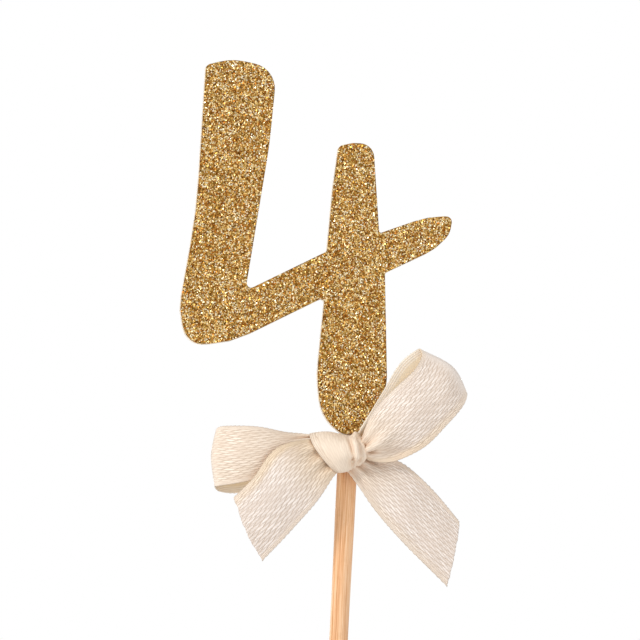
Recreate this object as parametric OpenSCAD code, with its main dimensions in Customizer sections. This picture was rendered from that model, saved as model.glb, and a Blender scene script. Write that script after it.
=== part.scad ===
// Number topper on a stick: a card numeral with a glitter face, glued to a round
// bamboo pick, with a satin ribbon bow tied round the pick under the numeral.
//
// Millimetres. +Z runs up the stick, +X is to the right and the glitter faces -Y.
// The origin is on the stick's axis, where the stick goes into the cake.

/* [Stick] */
// Full length of the bamboo stick
stick_length = 120; // [100:1:150]
// Diameter at the top of the stick
stick_top_d = 3.1; // [2.8:0.05:3.4]
// Diameter of the straight shank that goes into the cake
shank_d = 2.9; // [2.6:0.05:3.05]
// Height above the cake at which the straight shank ends
shank_top_z = 17; // [10:1:20]
// Length over which the stick thickens above the shank
taper_length = 14; // [8:1:16]
// Length of the pointed end
point_length = 8; // [5:1:12]
// Diameter left at the very tip
tip_d = 0.5; // [0.3:0.1:1]

/* [Numeral] */
// Height of the lowest point of the numeral above the knot's centre
numeral_rise = 3.3; // [3.2:0.1:6]
// Thickness of the paper board
card_t = 0.35; // [0.25:0.05:0.6]
// Thickness of the glitter coat on the board
coat_t = 0.2; // [0.1:0.05:0.3]
// Gap between the stick and the back of the board, filled by glue
glue_gap = 0.1; // [0.05:0.05:0.2]
// Radius of a glue bead
glue_r = 2.4; // [2.2:0.1:2.8]
// Length of a glue bead between the centres of its round ends
glue_length = 7; // [4:1:9]

/* [Bow] */
// Height of the knot's centre above the cake
knot_z = 41; // [38:1:44]
// Thickness of the ribbon
ribbon_t = 0.3; // [0.2:0.05:0.35]
// Height of the turn of ribbon round the stick
wrap_h = 5; // [4:0.5:5.5]
// Clearance between the stick and the turn of ribbon
wrap_gap = 0.07; // [0.03:0.01:0.1]

/* [Hidden] */

stick_r = stick_top_d / 2;
shank_r = shank_d / 2;
stick_glued_length = 34;
stick_top_z = knot_z + stick_glued_length;
stick_tip_z = stick_top_z - stick_length;
point_top_z = stick_tip_z + point_length;
taper_top_z = shank_top_z + taper_length;

card_back_y = -stick_r - glue_gap;
coat_back_y = card_back_y - card_t;
glue_centre_y = card_back_y + 0.65;
// The board stands out a little from under its coat at the lower left.
card_shift = -0.1;
coat_shift = 0.05;
glue_upper_z = knot_z + 22;
glue_lower_z = knot_z + 8;

wrap_r = stick_r + wrap_gap;
wrap_outer_r = wrap_r + ribbon_t;

arc_step = 12;
loop_steps = 40;
tail_steps = 15;

bamboo = "#E6BA8E";
gold = "#BB9559";
paper = "#EFE8D8";
glue = "#E9E4D2";
cream = "#EBDDCB";
cream_shade = "#E2D3BE";

// The numeral 4: each corner as [x, z, rounding radius], clockwise from the top left
// corner of the tall stroke. z is measured from the numeral's lowest point.
numeral_corners = [
    [-25.2, 56.4, 0.9],
    [-21.2, 57.6, 9],
    [-14.1, 56.4, 4],
    [-14.7, 44.3, 68],
    [-17.3, 21.5, 0.7],
    [-4.9, 28.3, 0.4],
    [-4.5, 38, 30],
    [-3.9, 44.8, 0.9],
    [-1.7, 45.4, 3],
    [1.5, 45.4, 2.3],
    [3.1, 31.5, 0.3],
    [10.5, 34.5, 14],
    [14.45, 34.75, 0.9],
    [14.1, 32, 3],
    [12.2, 29.6, 9],
    [4.3, 25.4, 0.5],
    [5.5, 8.2, 6],
    [3.4, 1.3, 5],
    [-0.6, -0.3, 2.4],
    [-4.5, 2.1, 7],
    [-5.5, 9, 17],
    [-4.9, 21.2, 0.5],
    [-19.2, 13.3, 16],
    [-25.9, 12.7, 3],
    [-27.5, 18.1, 10],
    [-25.5, 33.6, 90]
];

// The ribbon, as pairs of points on its two edges measured from the knot's centre.
// Left loop: out in front, round the outer fold and home behind.
left_loop_edges = [
    [[-6.6, -3.5, 2.7], [-6.2, -3.9, 0.8]],
    [[-9.8, -4.3, 3.2], [-9.1, -4.9, -1.4]],
    [[-13.8, -4.6, 3.8], [-13.0, -5.2, -3.9]],
    [[-17.6, -4.0, 3.8], [-17.0, -4.6, -5.1]],
    [[-20.0, -2.6, 3.5], [-19.8, -2.9, -5.8]],
    [[-20.8, -0.8, 2.7], [-20.4, -0.8, -6.1]],
    [[-20.1, 0.8, 1.9], [-19.6, 0.9, -6.7]],
    [[-17.0, 1.6, 2.0], [-16.6, 1.4, -6.7]],
    [[-12.6, 1.0, 2.4], [-12.0, 0.6, -5.0]],
    [[-8.8, -0.6, 2.4], [-8.4, -0.9, -2.4]],
    [[-6.2, -2.0, 2.2], [-5.9, -2.2, -0.2]]
];
// Right loop: up in front of the numeral's foot, round the outer fold and home behind.
right_loop_edges = [
    [[2.7, -4.5, 4.2], [3.9, -4.6, -0.8]],
    [[3.6, -5.8, 7.2], [7.4, -5.6, -0.5]],
    [[6.6, -6.6, 10.7], [11.8, -6.2, 2.0]],
    [[9.6, -6.4, 13.8], [15.4, -5.8, 5.9]],
    [[10.7, -5.4, 16.0], [17.5, -5.0, 8.7]],
    [[10.6, -4.4, 16.9], [18.0, -4.0, 10.5]],
    [[9.9, -3.4, 17.0], [17.3, -3.1, 10.0]],
    [[7.4, -2.8, 14.8], [14.8, -2.8, 6.2]],
    [[5.1, -2.8, 10.6], [11.2, -2.8, 2.2]],
    [[3.1, -2.8, 6.8], [7.2, -2.9, 0.2]],
    [[2.2, -2.8, 3.9], [3.9, -3.0, -0.2]]
];
// Left tail: down to the left, in front of the left loop, with a slanting cut end.
left_tail_edges = [
    [[-6.6, -5.0, 1.9], [-1.9, -4.9, -3.4]],
    [[-11.2, -6.2, 0.5], [-4.6, -5.7, -7.4]],
    [[-14.6, -6.5, -4.2], [-8.4, -5.5, -12.1]],
    [[-17.5, -5.8, -7.3], [-12.5, -4.9, -17.0]]
];
// Right tail: down to the right, out from under the right loop, with a slanting cut end.
right_tail_edges = [
    [[4.2, -1.6, 0.0], [1.2, -2.6, -3.4]],
    [[8.7, -1.2, -0.9], [4.6, -4.0, -8.2]],
    [[13.9, -1.6, -5.1], [9.0, -4.9, -12.8]],
    [[17.9, -2.4, -9.5], [16.4, -5.4, -19.5]]
];

function unit(v) = v / norm(v);

// The corner c of a path from a to b, rounded to radius r as a list of points
function round_corner(a, c, b, r) =
    let(
        u = unit(a - c),
        v = unit(b - c),
        half = acos(u * v) / 2,
        centre = c + unit(u + v) * r / sin(half),
        start = c + u * r / tan(half) - centre,
        finish = c + v * r / tan(half) - centre,
        from = atan2(start[1], start[0]),
        turn = (atan2(finish[1], finish[0]) - from + 540) % 360 - 180,
        steps = max(2, ceil(abs(turn) / arc_step))
    )
    [for (i = [0:steps]) centre + r * [cos(from + turn * i / steps), sin(from + turn * i / steps)]];

function flat(p) = [p[0], p[1]];

// A closed outline with every corner rounded to its own radius
function rounded_outline(corners) =
    let(n = len(corners))
    [
        for (i = [0:n - 1])
            each round_corner(
                flat(corners[(i + n - 1) % n]), flat(corners[i]), flat(corners[(i + 1) % n]), corners[i][2]
            )
    ];

// A point on the smooth curve through the points p, at t from 0 to the last index
function curve_point(p, t) =
    let(
        last = len(p) - 1,
        i = min(floor(t), last - 1),
        f = t - i,
        a = p[max(i - 1, 0)],
        b = p[i],
        c = p[i + 1],
        d = p[min(i + 2, last)]
    )
    b + f / 2 * ((c - a) + f * ((2 * a - 5 * b + 4 * c - d) + f * (3 * b - a - 3 * c + d)));

function curve(p, steps) = [for (i = [0:steps]) curve_point(p, i * (len(p) - 1) / steps)];

// The ribbon's normal at step i between its edge curves a and b
function ribbon_normal(a, b, i, steps) =
    let(
        before = max(i - 1, 0),
        after = min(i + 1, steps)
    )
    unit(cross(a[after] + b[after] - a[before] - b[before], b[i] - a[i]));

// A stretch of ribbon between two edge curves, as one closed solid
module ribbon(edges, steps) {
    a = curve([for (e = edges) e[0]], steps);
    b = curve([for (e = edges) e[1]], steps);
    lift = [for (i = [0:steps]) ribbon_normal(a, b, i, steps) * ribbon_t / 2];
    points = [for (i = [0:steps]) each [a[i] - lift[i], b[i] - lift[i], b[i] + lift[i], a[i] + lift[i]]];
    sides = [
        for (i = [0:steps - 1], k = [0:3])
            let(
                p = 4 * i + k,
                q = 4 * i + (k + 1) % 4
            )
            each [[p, q + 4, q], [p, p + 4, q + 4]]
    ];
    first_end = [[0, 1, 2], [0, 2, 3]];
    last_end = [for (f = first_end) [for (p = [2:-1:0]) f[p] + 4 * steps]];
    polyhedron(points = points, faces = concat(sides, first_end, last_end));
}

// A flat sheet in the numeral's outline, its back at back_y, moved up and right by shift
module numeral_sheet(back_y, thickness, shift) {
    translate([shift, back_y, knot_z + numeral_rise + shift])
        rotate([90, 0, 0])
            linear_extrude(height = thickness)
                polygon(rounded_outline(numeral_corners));
}

// A bead of glue in the corners between the stick and the card, from z upwards
module glue_bead(z) {
    difference() {
        translate([0, glue_centre_y, z]) {
            cylinder(r = glue_r, h = glue_length, $fn = 48);
            sphere(r = glue_r, $fn = 48);
            translate([0, 0, glue_length])
                sphere(r = glue_r, $fn = 48);
        }
        translate([0, 0, z - 2 * glue_r])
            cylinder(r = stick_r, h = glue_length + 4 * glue_r, $fn = 48);
        translate([-2 * glue_r, card_back_y - 3 * glue_r, z - 2 * glue_r])
            cube([4 * glue_r, 3 * glue_r, glue_length + 4 * glue_r]);
    }
}

module stick() {
    color(bamboo) {
        translate([0, 0, stick_tip_z])
            cylinder(d1 = tip_d, d2 = shank_d, h = point_length, $fn = 48);
        translate([0, 0, point_top_z])
            cylinder(r = shank_r, h = shank_top_z - point_top_z, $fn = 48);
        translate([0, 0, shank_top_z])
            cylinder(r1 = shank_r, r2 = stick_r, h = taper_length, $fn = 48);
        translate([0, 0, taper_top_z])
            cylinder(r = stick_r, h = stick_top_z - taper_top_z, $fn = 48);
    }
}

module number_card() {
    color(paper)
        numeral_sheet(card_back_y, card_t, card_shift);
}

module glitter_coat() {
    color(gold)
        numeral_sheet(coat_back_y, coat_t, coat_shift);
}

module glue_upper() {
    color(glue)
        glue_bead(glue_upper_z);
}

module glue_lower() {
    color(glue)
        glue_bead(glue_lower_z);
}

// The turn of ribbon round the stick that carries the knot
module knot_wrap() {
    color(cream_shade)
        translate([0, 0, knot_z - wrap_h / 2])
            difference() {
                cylinder(r = wrap_outer_r, h = wrap_h, $fn = 48);
                translate([0, 0, -1])
                    cylinder(r = wrap_r, h = wrap_h + 2, $fn = 48);
            }
}

// The pulled knot in front of the stick: a smooth fold at the left, bunched at the right
module bow_knot() {
    color(cream)
        translate([0, 0, knot_z])
            difference() {
                hull() {
                    translate([-5.0, -3.8, 2.2])
                        sphere(r = 0.9, $fn = 32);
                    translate([-1.6, -4.1, 0.8])
                        sphere(r = 2.7, $fn = 32);
                    translate([1.2, -4.0, 1.5])
                        sphere(r = 1.9, $fn = 32);
                    translate([1.6, -3.7, -0.2])
                        sphere(r = 1.4, $fn = 32);
                    translate([-0.8, -3.6, -1.8])
                        sphere(r = 1.1, $fn = 32);
                }
                translate([0, 0, -10])
                    cylinder(r = wrap_outer_r + 0.03, h = 20, $fn = 48);
            }
}

module left_loop() {
    color(cream)
        translate([0, 0, knot_z])
            ribbon(left_loop_edges, loop_steps);
}

module right_loop() {
    color(cream)
        translate([0, 0, knot_z])
            ribbon(right_loop_edges, loop_steps);
}

module left_tail() {
    color(cream_shade)
        translate([0, 0, knot_z])
            ribbon(left_tail_edges, tail_steps);
}

module right_tail() {
    color(cream_shade)
        translate([0, 0, knot_z])
            ribbon(right_tail_edges, tail_steps);
}

stick();
number_card();
glitter_coat();
glue_upper();
glue_lower();
knot_wrap();
bow_knot();
left_loop();
right_loop();
left_tail();
right_tail();
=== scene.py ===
"""Looks for a number topper on a stick.

A numeral of glitter card stands on a bamboo stick, with a satin ribbon bow tied under it.
"""

import math
import random

import bpy
import bmesh
import numpy as np
from mathutils import Matrix, Vector, noise
from mathutils.bvhtree import BVHTree


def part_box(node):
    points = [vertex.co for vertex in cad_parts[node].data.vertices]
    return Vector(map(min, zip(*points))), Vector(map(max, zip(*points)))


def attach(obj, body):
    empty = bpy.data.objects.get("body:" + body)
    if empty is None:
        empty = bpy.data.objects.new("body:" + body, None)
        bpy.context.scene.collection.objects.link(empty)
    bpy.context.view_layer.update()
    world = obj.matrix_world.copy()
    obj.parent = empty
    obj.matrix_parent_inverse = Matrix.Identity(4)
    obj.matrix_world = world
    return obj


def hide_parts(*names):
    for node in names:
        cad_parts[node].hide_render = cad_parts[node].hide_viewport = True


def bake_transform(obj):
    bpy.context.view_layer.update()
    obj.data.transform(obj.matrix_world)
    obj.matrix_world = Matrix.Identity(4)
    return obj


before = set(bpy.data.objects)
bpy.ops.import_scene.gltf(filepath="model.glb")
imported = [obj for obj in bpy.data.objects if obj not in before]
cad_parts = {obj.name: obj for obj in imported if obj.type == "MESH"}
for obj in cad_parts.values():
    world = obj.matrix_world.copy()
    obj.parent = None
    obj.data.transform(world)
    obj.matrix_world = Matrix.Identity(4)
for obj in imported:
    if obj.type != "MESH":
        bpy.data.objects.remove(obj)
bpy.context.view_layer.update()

MM = 0.001
SEED = 4

# ---------------------------------------------------------------- places, from the frame

wrap_low, wrap_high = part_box("knot_wrap")
KNOT = (wrap_low + wrap_high) / 2
stick_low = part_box("stick")[0]
coat_low, coat_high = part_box("glitter_coat")

# ---------------------------------------------------------------- ribbon

RIBBON_W = 10 * MM
RIBBON_T = 0.22 * MM

# Each ribbon stretch is a list of stations from the knot outwards, in mm from the knot's centre.
# A station is three points across the ribbon: one edge, the middle, the other edge.
LEFT_LOOP = [
    [(-4.4, -3.3, 2.6), (-4.3, -3.9, 1.8), (-4.2, -3.6, 1.1)],
    [(-6.8, -3.5, 3.05), (-6.6, -4.3, 2.0), (-6.3, -4.0, 0.7)],
    [(-9.8, -4.3, 3.2), (-9.5, -5.1, 1.1), (-9.1, -4.9, -1.4)],
    [(-13.8, -4.6, 3.8), (-13.5, -5.5, 0.0), (-13.0, -5.2, -3.9)],
    [(-17.6, -4.0, 3.8), (-17.7, -4.9, -0.7), (-17.0, -4.6, -5.1)],
    [(-20.0, -2.6, 3.5), (-20.5, -3.1, -0.9), (-19.8, -2.9, -5.7)],
    [(-20.7, -0.8, 2.7), (-21.2, -0.7, -1.3), (-20.4, -0.8, -6.0)],
    [(-20.1, 0.8, 1.9), (-20.5, 1.0, -2.1), (-19.5, 0.9, -6.7)],
    [(-17.0, 1.6, 2.0), (-17.0, 2.0, -2.2), (-16.6, 1.4, -6.7)],
    [(-12.6, 1.0, 2.4), (-12.4, 1.4, -1.3), (-12.0, 0.6, -5.0)],
    [(-8.8, -0.6, 2.4), (-8.6, -0.4, 0.0), (-8.4, -0.9, -2.4)],
    [(-6.2, -2.0, 2.4), (-6.0, -1.6, 1.1), (-5.9, -2.2, -0.2)],
    [(-4.4, -2.6, 1.6), (-4.2, -2.4, 0.8), (-4.1, -2.6, 0.0)],
]
RIGHT_LOOP = [
    [(1.7, -3.9, 2.0), (2.1, -4.6, 1.0), (2.4, -4.2, 0.1)],
    [(2.4, -4.6, 4.2), (3.6, -5.2, 1.8), (3.9, -3.3, -0.7)],
    [(3.6, -5.8, 7.2), (6.0, -6.2, 3.4), (7.4, -3.9, -0.5)],
    [(6.6, -6.6, 10.7), (9.7, -7.0, 6.7), (11.8, -5.2, 2.0)],
    [(9.6, -6.4, 13.8), (13.1, -6.8, 10.4), (15.4, -5.8, 5.9)],
    [(10.7, -5.4, 16.0), (15.0, -5.9, 13.2), (17.5, -5.0, 8.7)],
    [(10.6, -4.4, 16.9), (15.6, -4.6, 14.5), (18.0, -4.0, 10.5)],
    [(9.9, -3.4, 17.0), (14.8, -3.2, 14.4), (17.3, -3.1, 10.1)],
    [(7.4, -2.9, 14.8), (11.6, -2.7, 11.2), (14.8, -2.8, 6.2)],
    [(5.1, -2.8, 10.6), (8.6, -2.6, 6.8), (11.2, -2.8, 2.2)],
    [(3.1, -2.8, 6.8), (5.4, -2.6, 3.6), (7.2, -2.9, 0.2)],
    [(1.6, -2.8, 3.9), (3.0, -2.7, 1.9), (3.9, -3.0, -0.2)],
    [(1.0, -3.0, 2.4), (1.7, -3.0, 1.2), (2.3, -3.0, 0.2)],
]
LEFT_TAIL = [
    [(-4.6, -3.7, 2.0), (-2.8, -4.2, 0.0), (-0.9, -3.6, -2.2)],
    [(-7.0, -4.8, 2.2), (-5.0, -5.1, -0.4), (-2.1, -4.6, -3.4)],
    [(-11.4, -6.2, 0.5), (-8.2, -6.6, -3.5), (-4.5, -5.7, -7.3)],
    [(-14.6, -6.5, -4.2), (-11.8, -6.7, -8.1), (-8.3, -5.6, -12.1)],
    [(-17.4, -5.8, -7.3), (-15.4, -6.0, -12.1), (-12.5, -4.9, -17.0)],
]
RIGHT_TAIL = [
    [(2.0, -2.4, 0.4), (0.8, -2.9, -0.7), (-0.7, -3.0, -1.8)],
    [(4.2, -1.6, 0.1), (2.6, -2.5, -1.8), (0.9, -2.9, -3.4)],
    [(8.7, -1.2, -0.9), (6.8, -2.9, -4.5), (4.6, -4.0, -8.2)],
    [(13.9, -1.6, -5.1), (11.6, -3.7, -8.9), (9.0, -4.9, -12.8)],
    [(17.9, -2.4, -9.5), (17.4, -4.4, -14.4), (16.4, -5.4, -19.5)],
]
# The band over the knot's front: rows from its tucked top edge to its tucked bottom edge,
# each from the smooth left selvage to the bunched right side.
KNOT_BAND = [
    [(-5.0, -2.6, 2.3), (-3.8, -2.5, 2.6), (-2.4, -2.5, 2.8), (-1.0, -2.5, 2.7),
     (0.2, -2.5, 2.6), (1.0, -2.6, 2.9), (1.7, -2.6, 2.5), (2.1, -2.8, 2.0)],
    [(-6.1, -3.3, 3.1), (-4.6, -3.4, 3.45), (-2.9, -3.3, 3.5), (-1.2, -3.3, 3.25),
     (0.25, -3.3, 3.1), (0.95, -3.5, 3.75), (1.7, -3.4, 3.2), (2.3, -3.4, 2.5)],
    [(-5.9, -4.6, 2.2), (-4.4, -5.0, 2.4), (-2.7, -5.1, 2.5), (-1.0, -5.2, 2.3),
     (0.35, -5.15, 2.2), (1.1, -5.5, 2.4), (1.8, -5.0, 2.1), (2.75, -4.3, 1.7)],
    [(-5.2, -5.4, 0.95), (-3.6, -5.8, 1.1), (-2.1, -5.9, 1.2), (-0.7, -6.0, 1.1),
     (0.45, -5.65, 1.1), (1.15, -6.0, 1.2), (1.85, -5.4, 1.0), (3.1, -4.5, 0.9)],
    [(-4.1, -5.6, -0.4), (-2.7, -5.9, -0.3), (-1.5, -6.0, -0.1), (-0.3, -5.9, 0.0),
     (0.6, -5.5, -0.1), (1.2, -5.8, 0.0), (2.0, -5.3, -0.1), (3.1, -4.4, 0.0)],
    [(-2.9, -5.3, -1.65), (-1.9, -5.5, -1.5), (-0.9, -5.4, -1.3), (0.0, -5.1, -1.1),
     (0.75, -4.2, -0.8), (1.35, -4.2, -0.8), (2.1, -3.9, -0.8), (2.7, -3.7, -0.7)],
    [(-1.7, -4.4, -2.6), (-1.1, -4.5, -2.6), (-0.4, -4.4, -2.5), (0.2, -4.2, -2.3),
     (0.8, -3.9, -1.9), (1.3, -3.7, -1.6), (1.7, -3.6, -1.4), (2.1, -3.5, -1.2)],
    [(-1.0, -2.9, -2.5), (-0.6, -2.9, -2.4), (-0.2, -2.9, -2.3), (0.2, -2.9, -2.1),
     (0.6, -2.9, -1.8), (1.0, -2.9, -1.5), (1.3, -2.9, -1.3), (1.6, -2.9, -1.1)],
]

# The middle line of the ribbon gathered inside the knot, and its half depth and half height.
CORE_LINE = [(-5.0, -3.2, 1.6), (-2.6, -3.5, 1.1), (0.0, -3.6, 0.5), (2.6, -3.4, 1.0)]
CORE_R = (1.15, 2.0)


def smoothstep(a, b, x):
    """0 up to a, 1 from b on, and a smooth rise between them."""
    t = np.clip((x - a) / (b - a), 0, 1)
    return t * t * (3 - 2 * t)


def along(points, t):
    """Catmull-Rom through points (n, ...) at parameters t from 0 to n - 1."""
    p = np.asarray(points, float)
    last = len(p) - 1
    i = np.clip(np.floor(t).astype(int), 0, last - 1)
    f = (t - i).reshape((-1,) + (1,) * (p.ndim - 1))
    a, b, c, d = p[np.maximum(i - 1, 0)], p[i], p[i + 1], p[np.minimum(i + 2, last)]
    return b + f / 2 * ((c - a) + f * ((2 * a - 5 * b + 4 * c - d) + f * (3 * b - a - 3 * c + d)))


def run_of(line):
    """The distance along a line of points, at each of them."""
    return np.concatenate([[0], np.cumsum(np.linalg.norm(np.diff(line, axis=0), axis=1))])


def even_parameters(line, steps, fine=400):
    """Parameters that space steps + 1 points evenly along a curve, and the curve's length."""
    t = np.linspace(0, len(line) - 1, fine)
    run = run_of(along(line, t))
    return np.interp(np.linspace(0, run[-1], steps + 1), run, t), run[-1]


def middle_of(grid):
    """The line down the middle of a grid or net of points."""
    return grid[:, grid.shape[1] // 2]


def patch(net, rows, columns):
    """A smooth grid of points, rows + 1 by columns + 1, through a net of control points.

    The satin side faces the viewer, so a net that lies left of the knot's middle is turned over.
    """
    net = np.asarray(net, float)
    if net[2, 0, 0] < 0:
        net = net[:, ::-1]
    t, length = even_parameters(middle_of(net), rows)
    s = np.linspace(0, net.shape[1] - 1, columns + 1)
    grid = np.stack([along(line, s) for line in along(net, t)])
    return grid, length


def normals_of(grid):
    """Unit normals of a grid of points."""
    n = np.cross(np.gradient(grid, axis=0), np.gradient(grid, axis=1))
    return n / np.maximum(np.linalg.norm(n, axis=2, keepdims=True), 1e-12)


def width_places(grid):
    """Distance across the ribbon at each grid point, as a share of the row's length."""
    step = np.linalg.norm(np.diff(grid, axis=1), axis=2)
    run = np.concatenate([np.zeros((len(grid), 1)), np.cumsum(step, axis=1)], axis=1)
    return run / run[:, -1:]


BEND = (0.2, 0.5)  # radians per mm, where a bend begins to flatten and lighten the weave and where it fully does; the lightening is partly a painted highlight
BEND_SPREAD = 0.9  # mm, to each side of a bend, over which the weave is flattened and lightened
BEND_GAIN = 1.35  # what keeps a bend's flattening and lightening strong once it is spread


def bend_of(grid, length):
    """How sharply the ribbon bends at each row of a grid, from 0 to 1, spread a little along it."""
    rows_per_mm = (grid.shape[0] - 1) / length
    bend = np.linalg.norm(np.gradient(middle_of(normals_of(grid)), axis=0), axis=1) * rows_per_mm
    span = 2 * max(1, round(BEND_SPREAD * rows_per_mm)) + 1
    spread = np.convolve(smoothstep(*BEND, bend), np.ones(span) * BEND_GAIN / span, "same")
    return np.clip(spread, 0, 1)[:, None]


def mesh_of_grid(name, grid, length, warm_tint_and_shade, pressed=None):
    """A mesh from a grid of points in mm, with a map in mm of the woven cloth on it.

    warmth is how yellow the cloth looks, much of it painted shade, and pressed how flat its weave
    is, from 0 to 1. Where pressed isn't given, the weave is flattened and lightened along the
    ribbon's sharp bends, partly a painted highlight.
    """
    rows, columns = grid.shape[0] - 1, grid.shape[1] - 1
    points = grid.reshape(-1, 3) * MM + np.array(KNOT)
    faces = [
        (
            r * (columns + 1) + c,
            r * (columns + 1) + c + 1,
            (r + 1) * (columns + 1) + c + 1,
            (r + 1) * (columns + 1) + c,
        )
        for r in range(rows)
        for c in range(columns)
    ]
    mesh = bpy.data.meshes.new(name)
    mesh.from_pydata([tuple(p) for p in points], [], faces)
    u = np.linspace(0, RIBBON_W / MM, columns + 1)
    v = np.linspace(0, length, rows + 1)
    layer = mesh.uv_layers.new(name="weave_mm")
    for loop in mesh.loops:
        r, c = divmod(loop.vertex_index, columns + 1)
        layer.data[loop.index].uv = (u[c], v[r])
    if pressed is None:
        pressed = bend_of(grid, length)
    for key, value in (("fold", pressed), ("warm_tint_and_shade", warm_tint_and_shade)):
        values = value * np.ones((rows + 1, columns + 1))
        attribute = mesh.attributes.new(key, "FLOAT", "POINT")
        attribute.data.foreach_set("value", values.ravel().astype(np.float32))
    mesh.shade_smooth()
    piece = bpy.data.objects.new(name, mesh)
    bpy.context.scene.collection.objects.link(piece)
    return piece


def thicken(piece, front, back):
    """Gives the cloth its thickness: the satin face on one side, the dull back on the other."""
    piece.data.materials.append(front)
    piece.data.materials.append(back)
    solid = piece.modifiers.new("thickness", "SOLIDIFY")
    solid.thickness = RIBBON_T
    solid.offset = 0
    solid.use_quality_normals = True
    solid.material_offset = 1
    solid.material_offset_rim = 1
    graph = bpy.context.evaluated_depsgraph_get()
    mesh = bpy.data.meshes.new_from_object(piece.evaluated_get(graph), depsgraph=graph)
    piece.modifiers.clear()
    piece.data = mesh
    return piece


def gather(grid, reach, folds, depth, phase, both_ends):
    """Soft lengthwise folds at the knot that fade out within reach, in mm."""
    run = run_of(middle_of(grid))
    strength = 1 - smoothstep(0, reach, run)
    if both_ends:
        strength = np.maximum(strength, 1 - smoothstep(0, reach, run[-1] - run))
    w = width_places(grid)
    wave = np.sin(2 * math.pi * folds * w + phase) * np.sin(math.pi * np.clip(w, 0, 1)) ** 0.5
    return grid + normals_of(grid) * (wave * strength[:, None] * depth)[..., None]


def crease(grid, place, far_place, half_width, depth, reach):
    """A single lengthwise fold at the knot that fades out within reach, in mm.

    The places are shares of the width, at the knot and where the fold has died away.
    """
    run = run_of(middle_of(grid))
    fade = 1 - smoothstep(0.35 * reach, reach, run)
    middle = place + (far_place - place) * np.clip(run / reach, 0, 1)[:, None]
    profile = np.exp(-(((width_places(grid) - middle) / half_width) ** 2))
    return grid + normals_of(grid) * (profile * fade[:, None] * depth)[..., None]


def ruffle(grid, size, depth, seed):
    """Slight unevenness of pressed cloth, the same each run."""
    out = grid.copy()
    n = normals_of(grid)
    for r in range(grid.shape[0]):
        for c in range(grid.shape[1]):
            p = Vector(grid[r, c]) / size + Vector((seed, 0, 0))
            out[r, c] += n[r, c] * depth * noise.noise(p)
    return out


def scallop(grid, pitch, depth, seed):
    """The woven edges aren't quite straight: each bulges a little between its tighter picks."""
    out = grid.copy()
    run = run_of(middle_of(grid))
    for edge, inner, lag in ((0, 1, 0.0), (-1, -2, 2.0)):
        outwards = grid[:, edge] - grid[:, inner]
        outwards /= np.maximum(np.linalg.norm(outwards, axis=1, keepdims=True), 1e-9)
        phase = lag + seed
        swell = 0.6 + 0.4 * np.sin(1.3 * run + phase)
        wave = np.sin(2 * math.pi * run / pitch + phase) * swell
        out[:, edge] += outwards * (depth * wave)[:, None]
        out[:, inner] += outwards * (0.6 * depth * wave)[:, None]
    return out


def frayed(grid, depth, seed):
    """A cut end that isn't quite straight: the last rows move along the ribbon a little."""
    rng = random.Random(seed)
    out = grid.copy()
    direction = grid[-1] - grid[-4]
    direction /= np.linalg.norm(direction, axis=1, keepdims=True)
    jag = 0.0
    for c in range(grid.shape[1]):
        jag = 0.55 * jag + rng.uniform(-depth, depth)
        for k, share in ((1, 1.0), (2, 0.55), (3, 0.2)):
            out[-k, c] += direction[c] * jag * share
    return out


# ---------------------------------------------------------------- materials


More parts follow.
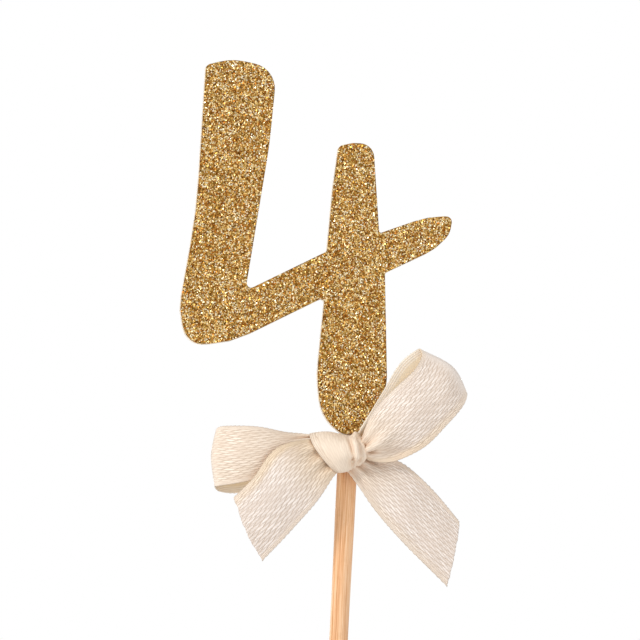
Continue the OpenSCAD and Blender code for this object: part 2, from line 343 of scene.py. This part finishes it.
class Shader:
    """A material's nodes, added one after another."""

    def __init__(self, name):
        self.material = bpy.data.materials.new(name)
        self.material.use_nodes = True
        self.tree = self.material.node_tree
        self.principled = self.tree.nodes["Principled BSDF"]

    def add(self, kind, settings=None, **inputs):
        """A new node, with its settings and with values or links fed to its inputs."""
        made = self.tree.nodes.new(kind)
        for key, value in (settings or {}).items():
            setattr(made, key, value)
        for key, value in inputs.items():
            self.feed(made.inputs[key], value)
        return made

    def feed(self, socket, value):
        """Sets an input to a value, or links it to another node's output."""
        if isinstance(value, bpy.types.NodeSocket):
            self.tree.links.new(value, socket)
        else:
            socket.default_value = value

    def set(self, **inputs):
        """Feeds the surface's own sockets, such as Base_Color."""
        for key, value in inputs.items():
            self.feed(self.principled.inputs[key.replace("_", " ")], value)

    def maths(self, operation, *values):
        """A number worked out from one or two others."""
        made = self.tree.nodes.new("ShaderNodeMath")
        made.operation = operation
        for socket, value in zip(made.inputs, values):
            self.feed(socket, value)
        return made.outputs[0]

    def plus(self, a, b):
        return self.maths("ADD", a, b)

    def minus(self, a, b):
        return self.maths("SUBTRACT", a, b)

    def times(self, a, b):
        return self.maths("MULTIPLY", a, b)

    def ridges(self, value, half_pitch):
        """Ridges across a value, from 0 in each groove to 1 on each crest."""
        return self.times(self.maths("PINGPONG", value, half_pitch), 1 / half_pitch)

    def ramp(self, factor, stops):
        """A colour that follows the factor through its stops, each a place and a colour."""
        made = self.tree.nodes.new("ShaderNodeValToRGB")
        self.feed(made.inputs[0], factor)
        elements = made.color_ramp.elements
        while len(elements) < len(stops):
            elements.new(0.5)
        for element, (place, colour) in zip(elements, stops):
            element.position = place
            element.color = colour
        return made.outputs[0]

    def rise(self, factor, low, high, top=1.0):
        """0 where the factor is up to low, and top from high on."""
        return self.ramp(factor, [(low, (0, 0, 0, 1)), (high, (top, top, top, 1))])

    def mix(self, factor, a, b, mode="MIX"):
        """A colour mixed from a to b."""
        made = self.tree.nodes.new("ShaderNodeMix")
        made.data_type = "RGBA"
        made.blend_type = mode
        self.feed(made.inputs[0], factor)
        self.feed(made.inputs[6], a)
        self.feed(made.inputs[7], b)
        return made.outputs[2]

    def between(self, factor, a, b):
        """A number mixed from a to b."""
        made = self.tree.nodes.new("ShaderNodeMix")
        made.data_type = "FLOAT"
        self.feed(made.inputs[0], factor)
        self.feed(made.inputs[2], a)
        self.feed(made.inputs[3], b)
        return made.outputs[0]

    def noise(self, vector, scale, detail=2.0, rough=0.5):
        """Cloudy noise from 0 to 1."""
        made = self.tree.nodes.new("ShaderNodeTexNoise")
        self.feed(made.inputs["Vector"], vector)
        made.inputs["Scale"].default_value = scale
        made.inputs["Detail"].default_value = detail
        made.inputs["Roughness"].default_value = rough
        return made.outputs[0]

    def on_object(self):
        """Places on the object, in metres."""
        return self.add("ShaderNodeTexCoord").outputs["Object"]

    def on_cloth(self):
        """Places on the woven cloth, in mm: together, across it and along it."""
        place = self.add("ShaderNodeUVMap", {"uv_map": "weave_mm"}).outputs[0]
        split = self.add("ShaderNodeSeparateXYZ", Vector=place)
        return place, split.outputs[0], split.outputs[1]

    def placed(self, u, v):
        """A flat place made of two numbers."""
        return self.add("ShaderNodeCombineXYZ", X=u, Y=v).outputs[0]

    def painted(self, attribute):
        """A number kept on the mesh."""
        return self.add("ShaderNodeAttribute", {"attribute_name": attribute}).outputs["Fac"]

    def crevice_shaded(self, colour, distance, tint):
        """The colour, darkened where another surface is within distance of it: a painted shade for
        creases and tight gaps.
        """
        made = self.tree.nodes.new("ShaderNodeAmbientOcclusion")
        made.samples = 8
        made.inputs["Distance"].default_value = distance
        closed = self.minus(1.0, made.outputs["AO"])
        return self.mix(closed, colour, self.mix(1.0, colour, tint, "MULTIPLY"))

    def bump(self, height, strength, distance):
        """Relief finer than the mesh, with its height from 0 to 1 over the distance."""
        made = self.tree.nodes.new("ShaderNodeBump")
        made.inputs["Strength"].default_value = strength
        made.inputs["Distance"].default_value = distance
        self.feed(made.inputs["Height"], height)
        self.feed(self.principled.inputs["Normal"], made.outputs[0])


def srgb(*levels):
    """A colour given as 0 to 255 on a screen, as the linear colour that a shader takes."""
    shares = [level / 255 for level in levels]
    linear = [x / 12.92 if x <= 10 / 255 else ((x + 0.055) / 1.055) ** 2.4 for x in shares]
    return (*linear, 1.0)


FLOAT_REPEAT = 2.1  # mm, from one float to the next along the ribbon
FLOAT_PITCH = 0.37  # mm, from one row of floats to the next across it
FLOAT_STAGGER = 3.0  # rows, after which the floats line up again
FLOAT_SLANT = 0.5  # of a repeat, by which a float leans across its row
FLOAT_WANDER = 0.1  # of a repeat, by which the floats drift over the cloth
FLOAT_JOG = 0.12  # of a repeat, by which a whole row is out of step
FLOAT_SIDES = (0.02, 0.34)  # of the pitch, over which a float rises from the groove beside it
FLOAT_ENDS = (0.02, 0.17)  # of a repeat, over which it rises from the gap at its end
ROW_LEAN = 0.1  # by which the rows drift across the ribbon, for each length along it
SELVAGE = (0.85, 1.0)  # mm from the edge, between which the corded edge turns into the weave
CORD_HALF = 0.15  # mm, half the pitch of the edge's cords
BACK_SELVAGE = (1.2, 1.7)  # mm from the edge, the same on the dull side
BACK_CORD_HALF = 0.2  # mm
RIB_HALF = 0.11  # mm, half the pitch of the dull side's ribs
FIBRE_STRETCH = 14.0  # how much longer than wide the yarn's fibres are
GRAIN_STRETCH = 8.0  # how much wider than long the dull side's grain is

WARM = (1.0, 0.90, 0.72, 1.0)  # what warmth multiplies the cloth's colour by: painted shade near the knot, and the selvage's own yellower colour
CREVICE_SHADE = (0.72, 0.55, 0.42, 1.0)  # what tight creases multiply it by, as painted shade
CREVICE_SHADE_REACH = 1.6 * MM


def distance_from_edge(shader, u):
    """The distance in mm from the nearer edge of the ribbon."""
    return shader.maths("MINIMUM", u, shader.minus(RIBBON_W / MM, u))


def woven_floats(shader, place, u, v):
    """The height of the weave's floats, from 0 in the gaps between them to 1 on the highest."""
    row = shader.maths("DIVIDE", shader.minus(u, shader.times(v, ROW_LEAN)), FLOAT_PITCH)
    row_number = shader.maths("FLOOR", row)
    across = shader.rise(shader.maths("PINGPONG", row, 0.5), *FLOAT_SIDES)
    slant = shader.times(shader.maths("FRACT", row), FLOAT_SLANT)
    wander = shader.times(shader.noise(place, 1.1), FLOAT_WANDER)
    jog = shader.add("ShaderNodeTexWhiteNoise", {"noise_dimensions": "1D"}, W=row_number).outputs[0]
    turns = shader.plus(shader.maths("DIVIDE", v, FLOAT_REPEAT), wander)
    turns = shader.minus(turns, shader.maths("DIVIDE", row_number, FLOAT_STAGGER))
    turns = shader.plus(turns, slant)
    turns = shader.plus(turns, shader.times(jog, FLOAT_JOG))
    lengthwise = shader.rise(shader.maths("PINGPONG", turns, 0.5), *FLOAT_ENDS)
    float_id = shader.placed(row_number, shader.maths("FLOOR", turns))
    chance = shader.add("ShaderNodeTexWhiteNoise", {"noise_dimensions": "2D"}, Vector=float_id)
    floats = shader.times(shader.plus(shader.times(across, 0.75), 0.25), lengthwise)
    return shader.times(floats, shader.plus(shader.times(chance.outputs[0], 0.45), 0.55))


def satin(name, light, dark, shade, roughness, relief):
    """Woven satin ribbon: staggered floats along its length and a corded edge on each side."""
    shader = Shader(name)
    place, u, v = shader.on_cloth()
    floats = woven_floats(shader, place, u, v)
    from_edge = distance_from_edge(shader, u)
    body = shader.rise(from_edge, *SELVAGE)
    cord = shader.plus(shader.times(shader.ridges(from_edge, CORD_HALF), 0.75), 0.2)
    fold = shader.painted("fold")
    raised = shader.between(body, cord, floats)
    # Along sharp bends, and on the knot's smooth panel, the weave is flattened towards its light
    # colour; along the bends this is partly a painted highlight.
    raised = shader.between(shader.times(fold, 0.95), raised, 0.9)
    fibre = shader.noise(shader.placed(shader.times(u, FIBRE_STRETCH), v), 1.0)
    cloud = shader.noise(place, 0.25, 3.0)

    base = shader.mix(raised, dark, light)
    base = shader.mix(shader.rise(cloud, 0.4, 0.8, 0.5), base, shade)
    base = shader.mix(shader.times(fibre, 0.22), base, shade)
    edging = shader.times(shader.minus(1.0, body), 0.35)
    # The yellow tint: painted shade near the knot and over the left loop, and the selvage's own
    # yellower colour.
    warm_tint_and_shade = shader.maths("MAXIMUM", shader.painted("warm_tint_and_shade"), edging)
    base = shader.mix(warm_tint_and_shade, base, shader.mix(1.0, base, WARM, "MULTIPLY"))
    # Tight creases get a painted shade, darker and browner.
    shader.set(Base_Color=shader.crevice_shaded(base, CREVICE_SHADE_REACH, CREVICE_SHADE), Specular_IOR_Level=0.5)
    shader.set(Sheen_Weight=0.2, Sheen_Roughness=0.4)
    rough = shader.minus(roughness + 0.15, shader.times(raised, 0.15))
    shader.set(Roughness=shader.plus(rough, shader.times(fold, 0.14)))
    height = shader.plus(raised, shader.times(fibre, 0.25))
    height = shader.times(height, shader.minus(1.0, shader.times(fold, 0.9)))
    shader.bump(height, relief, 0.06 * MM)
    return shader.material


def satin_reverse(name, light, dark, selvage, selvage_dark, relief):
    """The ribbon's dull side: fine ribs across it, without floats."""
    shader = Shader(name)
    place, u, v = shader.on_cloth()
    rib = shader.ridges(v, RIB_HALF)
    grain = shader.noise(shader.placed(u, shader.times(v, GRAIN_STRETCH)), 1.5, 3.0)
    cloud = shader.noise(place, 0.3, 3.0)
    tone = shader.plus(shader.times(rib, 0.3), shader.times(grain, 0.7))
    from_edge = distance_from_edge(shader, u)
    # The distance is halved, as a ramp has no places beyond 1.
    body = shader.rise(shader.times(from_edge, 0.5), *(place_mm / 2 for place_mm in BACK_SELVAGE))
    cord = shader.ridges(from_edge, BACK_CORD_HALF)
    base = shader.mix(tone, dark, light)
    base = shader.mix(shader.times(cloud, 0.3), base, dark)
    base = shader.mix(body, shader.mix(cord, selvage_dark, selvage), base)
    # Tight creases get a painted shade here too.
    shader.set(Base_Color=shader.crevice_shaded(base, CREVICE_SHADE_REACH, CREVICE_SHADE))
    shader.set(Sheen_Weight=0.15, Sheen_Roughness=0.5)
    shader.set(Roughness=shader.plus(shader.times(grain, 0.2), 0.55))
    shader.bump(tone, relief, 0.04 * MM)
    return shader.material


def bamboo():
    """Turned bamboo: fine fibres along the stick, some darker, with paler pith between them."""
    shader = Shader("bamboo")
    place = shader.on_object()
    lengthwise = shader.add("ShaderNodeMapping", Vector=place, Scale=(1.0, 1.0, 0.012)).outputs[0]
    fine = shader.noise(lengthwise, 7000.0, 4.0, 0.7)
    broad = shader.noise(lengthwise, 1500.0)
    spots = shader.noise(place, 500.0, 4.0, 0.65)
    tone = shader.plus(shader.times(fine, 0.65), shader.times(broad, 0.35))
    base = shader.ramp(
        tone,
        [
            (0.36, srgb(190, 124, 72)),
            (0.45, srgb(226, 166, 114)),
            (0.52, srgb(243, 193, 146)),
            (0.61, srgb(252, 218, 180)),
        ],
    )
    base = shader.mix(shader.rise(spots, 0.55, 0.75, 0.35), base, srgb(206, 150, 100))
    # Painted shadow: the stick turns a darker reddish brown where the ribbon and the glue lie close
    # over it, under the knot.
    base = shader.crevice_shaded(base, 3 * MM, (0.6, 0.38, 0.26, 1.0))
    shader.set(Base_Color=base, Roughness=shader.plus(shader.times(broad, 0.2), 0.42))
    shader.bump(tone, 0.6, 0.08 * MM)
    return shader.material


def paper_board():
    """Uncoated board: off-white, with faint fibres and mottling."""
    shader = Shader("paper_board")
    place = shader.on_object()
    fibres = shader.noise(place, 1800.0, 5.0, 0.65)
    mottle = shader.noise(place, 180.0, 3.0)
    base = shader.ramp(fibres, [(0.3, srgb(234, 223, 204)), (0.7, srgb(250, 243, 230))])
    base = shader.mix(shader.times(mottle, 0.2), base, srgb(236, 222, 198))
    shader.set(Base_Color=base, Roughness=0.85)
    shader.bump(fibres, 0.35, 0.03 * MM)
    return shader.material


def melted_glue():
    """Hot-melt glue: milky, a little yellow, with a smooth skin."""
    shader = Shader("hot_melt_glue")
    cloud = shader.noise(shader.on_object(), 400.0)
    base = shader.ramp(cloud, [(0.3, srgb(240, 226, 196)), (0.7, srgb(250, 241, 222))])
    shader.set(Base_Color=base, Roughness=shader.plus(shader.times(cloud, 0.2), 0.2))
    shader.set(Subsurface_Weight=0.15, Subsurface_Radius=(1.0, 0.75, 0.5))
    shader.set(Subsurface_Scale=0.8 * MM)
    shader.bump(cloud, 0.4, 0.1 * MM)
    return shader.material


def glitter_binder():
    """The clear coat between the flakes: small flakes deeper down, as cells of many golds."""
    shader = Shader("glitter_binder")
    cells = shader.add("ShaderNodeTexVoronoi", Vector=shader.on_object(), Scale=3600.0)
    red = shader.add("ShaderNodeSeparateColor", Color=cells.outputs["Color"]).outputs[0]
    base = shader.ramp(
        shader.maths("FRACT", shader.times(red, 7.0)),
        [
            (0.0, srgb(96, 62, 14)),
            (0.35, srgb(142, 98, 38)),
            (0.7, srgb(186, 142, 70)),
            (1.0, srgb(214, 176, 104)),
        ],
    )
    shader.set(Base_Color=base, Metallic=0.75, Roughness=0.4)
    shader.bump(cells.outputs["Distance"], 0.6, 0.06 * MM)
    return shader.material


def glitter_flakes():
    """Metallised polyester flakes: gold foils of several tints, each flake one tint."""
    shader = Shader("gold_glitter")
    tint = shader.painted("flake_tint")
    base = shader.ramp(
        tint,
        [
            (0.0, srgb(110, 70, 20)),
            (0.14, srgb(170, 100, 32)),
            (0.3, srgb(198, 140, 64)),
            (0.44, srgb(150, 118, 48)),
            (0.56, srgb(226, 178, 96)),
            (0.74, srgb(248, 214, 140)),
            (1.0, srgb(255, 246, 218)),
        ],
    )
    shader.set(Base_Color=base, Metallic=1.0)
    varied = shader.ridges(shader.times(tint, 9.0), 1.0)
    shader.set(Roughness=shader.plus(shader.times(varied, 0.25), 0.28))
    return shader.material


# ---------------------------------------------------------------- glitter

FLAKE_PITCH = 0.2 * MM
FLAKE_JITTER = 0.4  # of the pitch, each way
FLAKE_R = (0.09 * MM, 0.155 * MM)
FLAKE_MARGIN = 0.1 * MM  # about the least distance from a flake's centre to the coat's edge
FLAKE_T = 0.03 * MM
FLAKE_LIFT = 0.1  # mm, of a flake's centre from the coat's front, at most
FLAKE_TILT = 0.37  # radians, how widely the tilts spread
FLAKE_TILT_MAX = 0.8
FLAKE_SETS = 4

# A flake's faces, as numbers of its corners: six at the front, then six at the back.
FLAKE_FACES = [[0, 1, 2, 3, 4, 5], [11, 10, 9, 8, 7, 6]]
FLAKE_FACES += [[(a + 1) % 6, a, 6 + a, 6 + (a + 1) % 6] for a in range(6)]


def hexagon_angles():
    """The angles of a hexagon's corners."""
    return [math.radians(60 * a) for a in range(6)]


def flake_places(coat, rng):
    """Places for flakes over the coat's front: a jittered grid of the points that lie on it."""
    tree = BVHTree.FromPolygons(
        [v.co.copy() for v in coat.data.vertices], [tuple(p.vertices) for p in coat.data.polygons]
    )
    row_pitch = FLAKE_PITCH * math.sqrt(3) / 2
    margin = [(FLAKE_MARGIN * math.cos(a), FLAKE_MARGIN * math.sin(a)) for a in hexagon_angles()]
    start_y = coat_low.y - MM
    towards_coat = Vector((0, 1, 0))
    places = []
    for j in range(int((coat_high.z - coat_low.z) / row_pitch) + 1):
        for i in range(int((coat_high.x - coat_low.x) / FLAKE_PITCH) + 1):
            jitter_x = rng.uniform(-FLAKE_JITTER, FLAKE_JITTER)
            jitter_z = rng.uniform(-FLAKE_JITTER, FLAKE_JITTER)
            x = coat_low.x + (i + (j % 2) / 2 + jitter_x) * FLAKE_PITCH
            z = coat_low.z + (j + jitter_z) * row_pitch
            starts = [Vector((x + dx, start_y, z + dz)) for dx, dz in margin]
            if all(tree.ray_cast(start, towards_coat)[0] is not None for start in starts):
                places.append((x, z))
    return places


def flake_corners(x, z, rng):
    """The corners of a thin hexagonal flake that lies at a random angle over (x, z)."""
    radius = rng.uniform(*FLAKE_R)
    tilt = min(abs(rng.gauss(0, FLAKE_TILT)), FLAKE_TILT_MAX)
    spin = Matrix.Rotation(rng.uniform(0, 2 * math.pi), 3, "Y")
    heading = Matrix.Rotation(rng.uniform(0, 2 * math.pi), 3, "Y")
    turn = heading @ Matrix.Rotation(tilt, 3, "X") @ spin
    centre = Vector((x, coat_low.y - rng.uniform(0.0, FLAKE_LIFT) * MM, z))
    return [
        centre + turn @ Vector((radius * math.cos(angle), y, radius * math.sin(angle)))
        for y in (-FLAKE_T / 2, FLAKE_T / 2)
        for angle in hexagon_angles()
    ]


def build_flakes(material):
    """Thousands of thin hexagonal flakes, lying at all angles in the coat."""
    rng = random.Random(SEED)
    places = flake_places(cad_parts["glitter_coat"], rng)
    rng.shuffle(places)
    share = math.ceil(len(places) / FLAKE_SETS)
    for k in range(FLAKE_SETS):
        points, faces, tints = [], [], []
        for x, z in places[k * share : (k + 1) * share]:
            faces += [[len(points) + corner for corner in face] for face in FLAKE_FACES]
            corners = flake_corners(x, z, rng)
            points += corners
            tints += [rng.random()] * len(corners)
        mesh = bpy.data.meshes.new(f"glitter_flakes_{k + 1}")
        mesh.from_pydata([tuple(p) for p in points], [], faces)
        attribute = mesh.attributes.new("flake_tint", "FLOAT", "POINT")
        attribute.data.foreach_set("value", tints)
        mesh.materials.append(material)
        piece = bpy.data.objects.new(mesh.name, mesh)
        bpy.context.scene.collection.objects.link(piece)
        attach(piece, "pick")


# ---------------------------------------------------------------- ribbon pieces

LOOP_ROWS = 150
TAIL_ROWS = 120
COLUMNS = 40
KNOT_SHADE_RUN = (1, 10)  # mm from the knot, over which its warmth, a painted shade, fades
EDGE_WARM_RUN = (8, 20)  # mm from the knot, over which half of the edge's warmth fades
EDGE_WARM_WIDTH = (0.8, 0.95)  # shares of the width, over which the edge's warmth begins


def knot_point(x, y, z):
    """A point given in mm from the knot's centre."""
    return KNOT + Vector((x, y, z)) * MM


def knot_warm_tint_and_shade(grid, away, near, edge):
    """The cloth's yellow tint: away from the knot, near it, and along one of the ribbon's edges.
    The stronger tint near the knot is painted shade, where the ribbon's layers crowd together.
    """
    run = run_of(middle_of(grid))[:, None]
    body = away + (near - away) * (1 - smoothstep(*KNOT_SHADE_RUN, run))
    at_edge = smoothstep(*EDGE_WARM_WIDTH, width_places(grid))
    return np.maximum(body, edge * at_edge * (1 - 0.5 * smoothstep(*EDGE_WARM_RUN, run)))


def loop_shape(stations, phase, creases=()):
    """A loop: gathered at both ends, where it goes into the knot."""
    grid, length = patch(stations, LOOP_ROWS, COLUMNS)
    for fold in creases:
        grid = crease(grid, **fold)
    grid = gather(grid, reach=8.0, folds=3, depth=0.45, phase=phase, both_ends=True)
    grid = ruffle(grid, size=3.5, depth=0.12, seed=phase)
    grid = scallop(grid, pitch=0.8, depth=0.05, seed=phase)
    return grid, length


def tail_shape(stations, phase):
    """A tail: gathered at the knot, and cut a little unevenly at its far end."""
    grid, length = patch(stations, TAIL_ROWS, COLUMNS)
    grid = gather(grid, reach=7.0, folds=3, depth=0.4, phase=phase, both_ends=False)
    grid = ruffle(grid, size=4.0, depth=0.14, seed=phase)
    grid = scallop(grid, pitch=0.8, depth=0.06, seed=phase)
    grid = frayed(grid, depth=0.09, seed=int(phase * 10))
    return grid, length


def build_stretch(name, node, shape, cloth, warm_tint_and_shade):
    """A loop or a tail, which bends between start and end, in mm from the knot's centre."""
    grid, length = shape
    piece = thicken(mesh_of_grid(name, grid, length, knot_warm_tint_and_shade(grid, *warm_tint_and_shade)), *cloth)
    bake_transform(piece)
    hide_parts(node)


KNOT_FOLDS = 5.9  # across the whole band, though only its bunched side has them
KNOT_CREST = 0.74  # share of the band's width at which one of its folds has its crest
KNOT_FOLD_DEPTH = 0.22  # mm
KNOT_BUNCH = (0.55, 0.66)  # shares of the width, over which the folds begin
# The knot's yellow tint is painted shade, as near the knot on the loops and tails.
KNOT_WARMTH = 0.6
KNOT_SELVAGE = (0.1, 0.16)  # shares of the width, over which the corded edge turns smooth


def build_knot(cloth):
    """The band over the knot's front: smooth at its left, bunched into folds at its right."""
    grid, length = patch(KNOT_BAND, 70, 72)
    down = np.linspace(0, 1, grid.shape[0])[:, None]
    from_left = 1 - width_places(grid)
    bunch = smoothstep(*KNOT_BUNCH, from_left)
    bunch = bunch * smoothstep(0.1, 0.35, down) * (1 - 0.6 * smoothstep(0.62, 0.8, down))
    folds = np.cos(2 * math.pi * KNOT_FOLDS * (from_left - KNOT_CREST))
    grid = grid - normals_of(grid) * (bunch * folds * KNOT_FOLD_DEPTH)[..., None]
    grid = ruffle(grid, size=2.5, depth=0.1, seed=3.0)
    pressed = 0.7 * smoothstep(*KNOT_SELVAGE, from_left)
    piece = thicken(mesh_of_grid("ribbon_knot", grid, length, KNOT_WARMTH, pressed), *cloth)
    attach(piece, "knot")
    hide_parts("bow_knot")


def build_knot_core(cloth):
    """The ribbon that passes under the knot's band, gathered into a bundle between the loops."""
    rows, columns, overlap = 48, 96, 0.15
    t = np.linspace(0, 1, rows + 1)[:, None]
    a = np.linspace(-overlap, 2 * math.pi + overlap, columns + 1)[None, :]
    middle = along(CORE_LINE, t[:, 0] * (len(CORE_LINE) - 1))
    pleats = 1 + 0.1 * np.cos(9 * a + 2.0 * t) + 0.05 * np.sin(5 * a - 3 * t)
    swell = np.sin(math.pi * (0.12 + 0.76 * t)) ** 0.6
    half_depth, half_height = CORE_R
    y = -half_depth * swell * pleats * np.cos(a)
    z = half_height * swell * pleats * np.sin(a)
    grid = middle[:, None, :] + np.stack([0 * y, y, z], axis=2)
    length = run_of(middle)[-1]
    piece = thicken(mesh_of_grid("ribbon_knot_core", grid, length, KNOT_WARMTH), *cloth)
    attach(piece, "knot")


WRAP_TUCK = 0.05  # mm, by which the turn's valleys lie inside the solid that it stands for
WRAP_FOLD_DEPTH = 0.75  # mm
# The wrap's yellow tint is painted shade, as at the knot.
WRAP_WARMTH = 0.4


def build_wrap(cloth):
    """The turn of ribbon round the stick, gathered into low folds."""
    inner = (wrap_high.x - wrap_low.x) / 2 / MM - WRAP_TUCK
    half_height = (wrap_high.z - wrap_low.z) / 2 / MM
    rows, columns = 72, 48
    a = np.linspace(0, 2 * math.pi, rows + 1)[:, None]
    w = np.linspace(-1, 1, columns + 1)[None, :]
    folds = 0.5 + 0.32 * np.cos(math.pi * 5 * w + 0.9 * np.sin(a))
    folds = folds + 0.18 * np.cos(math.pi * 9 * w - 1.4 * np.sin(a + 1))
    radius = inner + WRAP_FOLD_DEPTH * folds * (1 - np.abs(w) ** 6)
    z = half_height * w * (0.9 + 0.08 * np.cos(a))
    grid = np.stack([radius * np.sin(a), radius * np.cos(a), z], axis=2)
    length = 2 * math.pi * inner
    piece = thicken(mesh_of_grid("ribbon_wrap", grid, length, WRAP_WARMTH), *cloth)
    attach(piece, "wrap")
    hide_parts("knot_wrap")


def cad_material(node, material):
    """Gives a carried-over CAD node its finish."""
    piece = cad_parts[node]
    piece.data.materials.clear()
    piece.data.materials.append(material)


# ---------------------------------------------------------------- camera, light, floor

VIEW_SPAN = 100 * MM  # width of the view at the object
VIEW_CENTRE = knot_point(-5.4, 0, 20.9)
CAMERA_DISTANCE = 1.2  # m
CAMERA_ROLL = math.radians(2.87)
SENSOR = 36.0  # mm
SURROUND = 0.54  # how strongly the white surround lights the object
FLOOR_R = 0.6  # m
FLOOR_GAP = 0.5 * MM  # from the stick's point down to the floor
FLOOR_FADE = (0.12, 0.55)  # m from the middle, over which the floor fades into white


def build_camera():
    """A long lens straight in front, rolled a little."""
    data = bpy.data.cameras.new("camera")
    data.sensor_width = SENSOR
    data.lens = SENSOR * CAMERA_DISTANCE / VIEW_SPAN
    data.clip_start = 0.05
    data.clip_end = 20
    camera = bpy.data.objects.new("camera", data)
    bpy.context.scene.collection.objects.link(camera)
    right = Vector((math.cos(CAMERA_ROLL), 0, math.sin(CAMERA_ROLL)))
    up = Vector((-math.sin(CAMERA_ROLL), 0, math.cos(CAMERA_ROLL)))
    back = Vector((0, -1, 0))
    turn = Matrix((right, up, back)).transposed()
    camera.matrix_world = Matrix.Translation(VIEW_CENTRE + back * CAMERA_DISTANCE) @ turn.to_4x4()
    bpy.context.scene.camera = camera


def area_light(name, place, size, power):
    """A round soft light at a place given from the view's centre, shining at it."""
    data = bpy.data.lights.new(name, "AREA")
    data.shape = "DISK"
    data.size = size
    data.energy = power
    light = bpy.data.objects.new(name, data)
    bpy.context.scene.collection.objects.link(light)
    light.visible_camera = False
    light.location = VIEW_CENTRE + Vector(place)
    light.rotation_mode = "QUATERNION"
    light.rotation_quaternion = (-Vector(place)).to_track_quat("-Z", "Y")


def build_studio():
    """Soft light from the upper left, a weaker fill from the right, a lit back, a white surround."""
    area_light("key", place=(-0.8, -0.65, 0.5), size=0.35, power=7.6)
    area_light("fill", place=(0.7, -0.6, 0.05), size=0.5, power=1.2)
    area_light("back", place=(0.0, 1.2, 0.0), size=0.4, power=5.0)
    world = bpy.data.worlds.new("studio")
    bpy.context.scene.world = world
    world.use_nodes = True
    tree = world.node_tree
    path = tree.nodes.new("ShaderNodeLightPath")
    strength = tree.nodes.new("ShaderNodeMix")
    strength.inputs[2].default_value = SURROUND
    strength.inputs[3].default_value = 1.0
    tree.links.new(path.outputs["Is Camera Ray"], strength.inputs[0])
    background = tree.nodes["Background"]
    background.inputs[0].default_value = (1, 1, 1, 1)
    tree.links.new(strength.outputs[0], background.inputs[1])
    scene = bpy.context.scene
    scene.view_settings.view_transform = "Standard"
    scene.view_settings.look = "None"


def build_floor():
    """A pale round floor under the stick's point, fading into the white surround."""
    bm = bmesh.new()
    bmesh.ops.create_circle(bm, cap_ends=True, segments=96, radius=FLOOR_R)
    mesh = bpy.data.meshes.new("floor")
    bm.to_mesh(mesh)
    bm.free()
    floor = bpy.data.objects.new("floor", mesh)
    bpy.context.scene.collection.objects.link(floor)
    floor.location = (0, 0, stick_low.z - FLOOR_GAP)
    shader = Shader("floor")
    length_of = {"operation": "LENGTH"}
    far = shader.add("ShaderNodeVectorMath", length_of, Vector=shader.on_object())
    shader.set(Base_Color=(0.86, 0.86, 0.86, 1), Roughness=0.8, Emission_Color=(1, 1, 1, 1))
    shader.set(Emission_Strength=shader.rise(far.outputs["Value"], *FLOOR_FADE))
    mesh.materials.append(shader.material)


build_camera()
build_studio()
build_floor()

satin_cloth = (
    satin(
        "satin_front",
        light=srgb(254, 244, 236),
        dark=srgb(200, 180, 162),
        shade=srgb(228, 211, 198),
        roughness=0.36,
        relief=0.9,
    ),
    satin_reverse(
        "satin_back",
        light=srgb(251, 237, 212),
        dark=srgb(237, 217, 186),
        selvage=srgb(255, 247, 234),
        selvage_dark=srgb(226, 208, 184),
        relief=0.5,
    ),
)

cad_material("stick", bamboo())
cad_material("number_card", paper_board())
cad_material("glitter_coat", glitter_binder())
glue = melted_glue()
cad_material("glue_upper", glue)
cad_material("glue_lower", glue)
build_flakes(glitter_flakes())

build_wrap(satin_cloth)
build_knot(satin_cloth)
build_knot_core(satin_cloth)

# A valley in the right loop's lower half, which runs towards its edge as it dies away.
right_loop_crease = dict(place=0.72, far_place=0.96, half_width=0.1, depth=0.75, reach=10.0)

# Each stretch's yellow tint away from the knot, near it and along one edge; near the knot, and over
# the whole left loop, it is painted shade.
build_stretch(
    "ribbon_left_loop", "left_loop", loop_shape(LEFT_LOOP, 0.4), satin_cloth,
    warm_tint_and_shade=(0.45, 0.6, 0.0),
)
build_stretch(
    "ribbon_right_loop", "right_loop", loop_shape(RIGHT_LOOP, 1.9, [right_loop_crease]),
    satin_cloth, warm_tint_and_shade=(0.1, 0.55, 0.8),
)
build_stretch(
    "ribbon_left_tail", "left_tail", tail_shape(LEFT_TAIL, 2.6), satin_cloth,
    warm_tint_and_shade=(0.0, 0.95, 1.0),
)
build_stretch(
    "ribbon_right_tail", "right_tail", tail_shape(RIGHT_TAIL, 4.1), satin_cloth,
    warm_tint_and_shade=(0.0, 0.5, 0.4),
)
